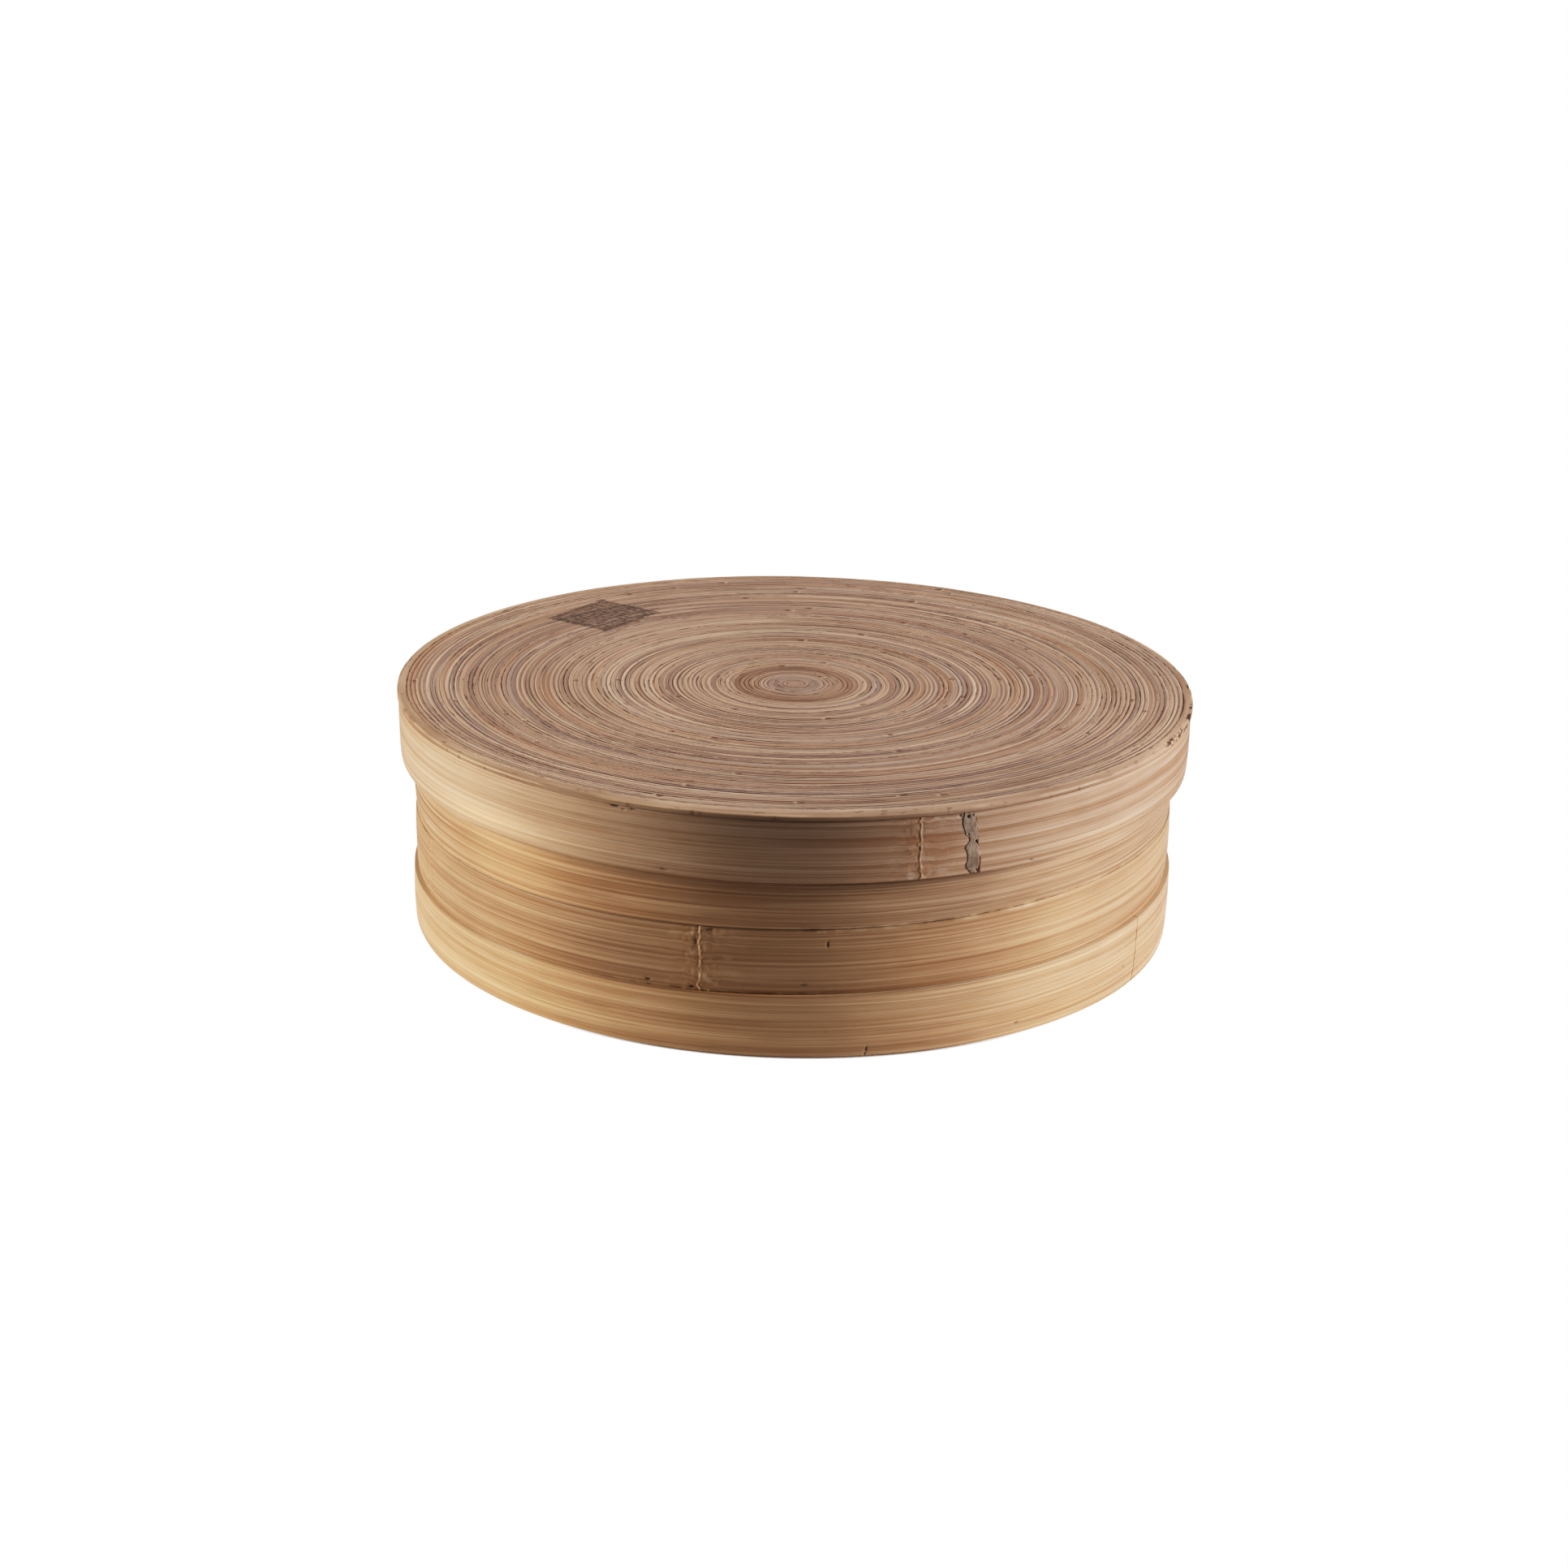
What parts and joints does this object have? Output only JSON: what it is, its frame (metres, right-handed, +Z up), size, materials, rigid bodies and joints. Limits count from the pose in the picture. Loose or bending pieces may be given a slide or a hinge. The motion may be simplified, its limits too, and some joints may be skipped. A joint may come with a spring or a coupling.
{
  "type": "bamboo steamer basket",
  "caption": "Round bamboo steamer basket: a straight wall of stacked bent hoops round a slatted floor, with a flat coiled-strip lid that lifts off.",
  "frame": {"origin": "centre of the foot, on the surface that the basket stands on", "axes": "+Z up, along the basket's axis; -Y is the front, where the lid's filled joint is at the right"},
  "size_m": [0.25, 0.25, 0.0754],
  "materials": {
    "hoop_bamboo": "satin",
    "coiled_bamboo": "matte",
    "edge_bamboo": "matte",
    "slat_bamboo": "matte",
    "pin_bamboo": "matte",
    "joint_filler": "matte",
    "inner_bamboo": "satin"
  },
  "bodies": {
    "basket": {"inner_wall": "inner_bamboo", "lower_hoop": "hoop_bamboo", "middle_hoop": "hoop_bamboo", "upper_hoop": "hoop_bamboo", "floor_support_ring": "inner_bamboo", "retaining_ring": "inner_bamboo", "cross_bar_1": "inner_bamboo", "cross_bar_2": "inner_bamboo", "cross_bar_3": "inner_bamboo", "floor_slat_1": "slat_bamboo", "floor_slat_2": "slat_bamboo", "floor_slat_3": "slat_bamboo", "floor_slat_4": "slat_bamboo", "floor_slat_5": "slat_bamboo", "floor_slat_6": "slat_bamboo", "floor_slat_7": "slat_bamboo", "floor_slat_8": "slat_bamboo", "floor_slat_9": "slat_bamboo", "floor_slat_10": "slat_bamboo", "floor_slat_11": "slat_bamboo", "floor_slat_12": "slat_bamboo", "floor_slat_13": "slat_bamboo", "floor_slat_14": "slat_bamboo", "floor_slat_15": "slat_bamboo", "floor_slat_16": "slat_bamboo", "floor_slat_17": "slat_bamboo", "floor_slat_18": "slat_bamboo", "slat_pins": "pin_bamboo", "wall_pegs": "pin_bamboo"},
    "lid": {"lid_core": "coiled_bamboo", "lid_coil_1": "coiled_bamboo", "lid_coil_2": "coiled_bamboo", "lid_coil_3": "coiled_bamboo", "lid_coil_4": "coiled_bamboo", "lid_coil_5": "coiled_bamboo", "lid_coil_6": "coiled_bamboo", "lid_coil_7": "coiled_bamboo", "lid_coil_8": "coiled_bamboo", "lid_coil_9": "coiled_bamboo", "lid_coil_10": "coiled_bamboo", "lid_coil_11": "coiled_bamboo", "lid_coil_12": "coiled_bamboo", "lid_edge_strip": "edge_bamboo", "lid_outer_hoop": "hoop_bamboo", "lid_joint_filler": "joint_filler", "lid_inner_hoop": "inner_bamboo", "lid_seat_ring": "inner_bamboo"}
  },
  "joints": [
    {"name": "lid_lift", "type": "slide", "parent": "basket", "child": "lid", "axis": [0, 0, 1], "range_m": [0, 0.12]}
  ]
}
